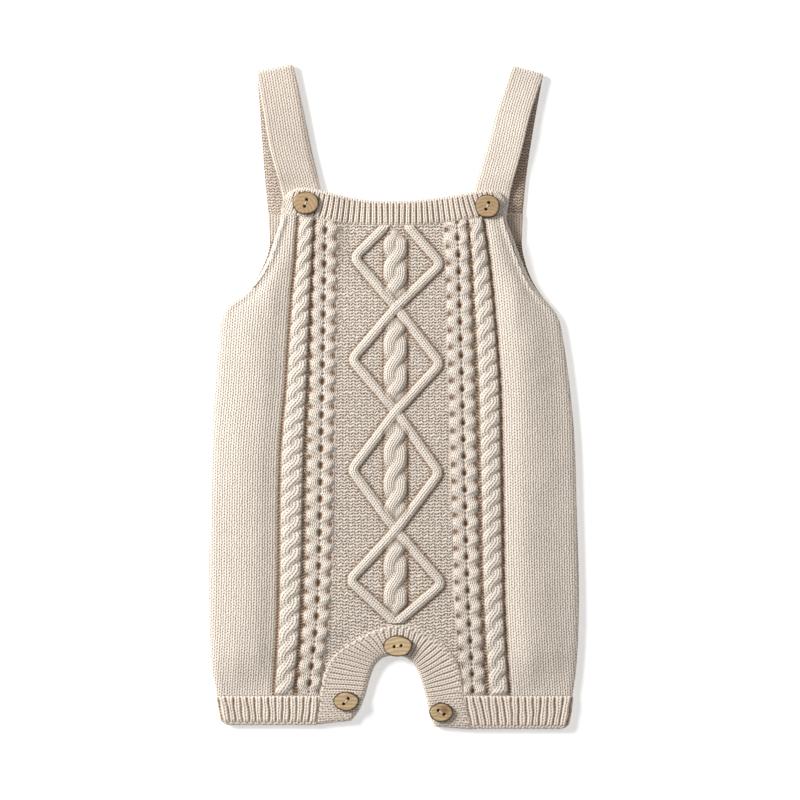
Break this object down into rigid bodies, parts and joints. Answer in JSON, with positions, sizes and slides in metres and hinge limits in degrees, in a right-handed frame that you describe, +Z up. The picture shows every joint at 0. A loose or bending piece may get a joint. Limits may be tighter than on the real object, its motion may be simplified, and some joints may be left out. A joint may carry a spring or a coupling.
{
  "type": "baby romper",
  "caption": "Cable-knit baby romper with folded shoulder straps, a bib and short legs, laid flat on its back.",
  "frame": {"origin": "on the surface it lies on, under the middle of the whole garment's box", "axes": "+X across the garment to the right as seen from above, +Y from the leg hems to the shoulder folds, +Z up out of the front"},
  "size_m": [0.2412, 0.4334, 0.0125],
  "materials": {
    "knit_front": "matt cotton, cable knit",
    "knit_back": "matt cotton, stocking stitch",
    "knit_rib": "matt cotton, rib knit",
    "knit_strap": "matt cotton, stocking stitch",
    "wood": "satin, with a dark bark rim"
  },
  "bodies": {
    "root": {"front_panel": "knit_front", "back_panel": "knit_back", "front_neck_band": "knit_rib", "back_neck_band": "knit_rib", "front_crotch_band": "knit_rib", "back_crotch_band": "knit_rib", "leg_cuff_left": "knit_rib", "leg_cuff_right": "knit_rib", "strap_left": "knit_strap", "strap_right": "knit_strap", "button_strap_left": "wood", "button_strap_right": "wood", "button_crotch": "wood", "button_leg_left": "wood", "button_leg_right": "wood"}
  },
  "joints": []
}
